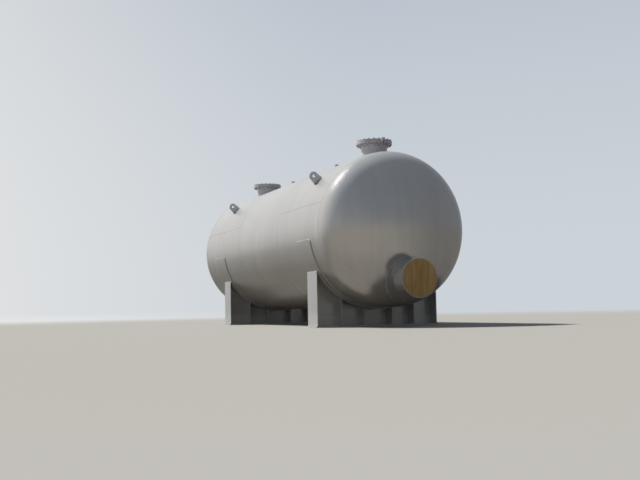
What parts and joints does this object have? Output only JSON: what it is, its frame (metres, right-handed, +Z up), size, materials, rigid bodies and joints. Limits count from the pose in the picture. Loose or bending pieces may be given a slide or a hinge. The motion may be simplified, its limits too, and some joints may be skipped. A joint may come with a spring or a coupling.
{
  "type": "horizontal pressure tank",
  "caption": "Horizontal cylindrical pressure tank with dished ends on steel saddles, with bolted manways and vents on top, a low flanged end outlet and lifting lugs.",
  "frame": {"origin": "on the ground, at the middle of the near saddle's base plate and of its four anchor holes", "axes": "+X along the tank towards the near head with the outlet, +Z up, +Y across the tank to its left as seen looking along +X"},
  "size_m": [11.1366, 3.5062, 4.317],
  "materials": {
    "shell_paint": "satin silver-grey aluminium paint, dusty and faintly streaked",
    "nozzle_paint": "satin silver-grey aluminium paint",
    "saddle_paint": "satin silver-grey aluminium paint, dusty at the feet",
    "gasket_rubber": "matt black sheet rubber",
    "pin_steel": "bare steel",
    "plywood": "raw weathered plywood"
  },
  "bodies": {
    "root": {"shell_course_near": "shell_paint", "shell_course_middle": "shell_paint", "shell_course_far": "shell_paint", "head_near": "shell_paint", "head_far": "shell_paint", "near_manway_pad": "shell_paint", "near_manway_neck": "nozzle_paint", "near_manway_flange": "nozzle_paint", "near_manway_gasket": "gasket_rubber", "near_manway_cover": "nozzle_paint", "near_manway_hinge_pin": "pin_steel", "far_manway_pad": "shell_paint", "far_manway_neck": "nozzle_paint", "far_manway_flange": "nozzle_paint", "far_manway_gasket": "gasket_rubber", "far_manway_cover": "nozzle_paint", "far_manway_hinge_pin": "pin_steel", "outlet_pad": "shell_paint", "outlet_neck": "nozzle_paint", "outlet_flange": "nozzle_paint", "outlet_wood_cover": "plywood", "near_vent_nozzle": "nozzle_paint", "near_vent_cover": "nozzle_paint", "far_vent_nozzle": "nozzle_paint", "far_vent_cover": "nozzle_paint", "near_left_lug": "shell_paint", "near_right_lug": "shell_paint", "far_left_lug": "shell_paint", "far_right_lug": "shell_paint", "near_wear_plate": "shell_paint", "near_cradle": "saddle_paint", "near_web": "saddle_paint", "near_end_plates": "saddle_paint", "near_ribs": "saddle_paint", "near_base_plate": "saddle_paint", "far_wear_plate": "shell_paint", "far_cradle": "saddle_paint", "far_web": "saddle_paint", "far_end_plates": "saddle_paint", "far_ribs": "saddle_paint", "far_base_plate": "saddle_paint"}
  },
  "joints": []
}
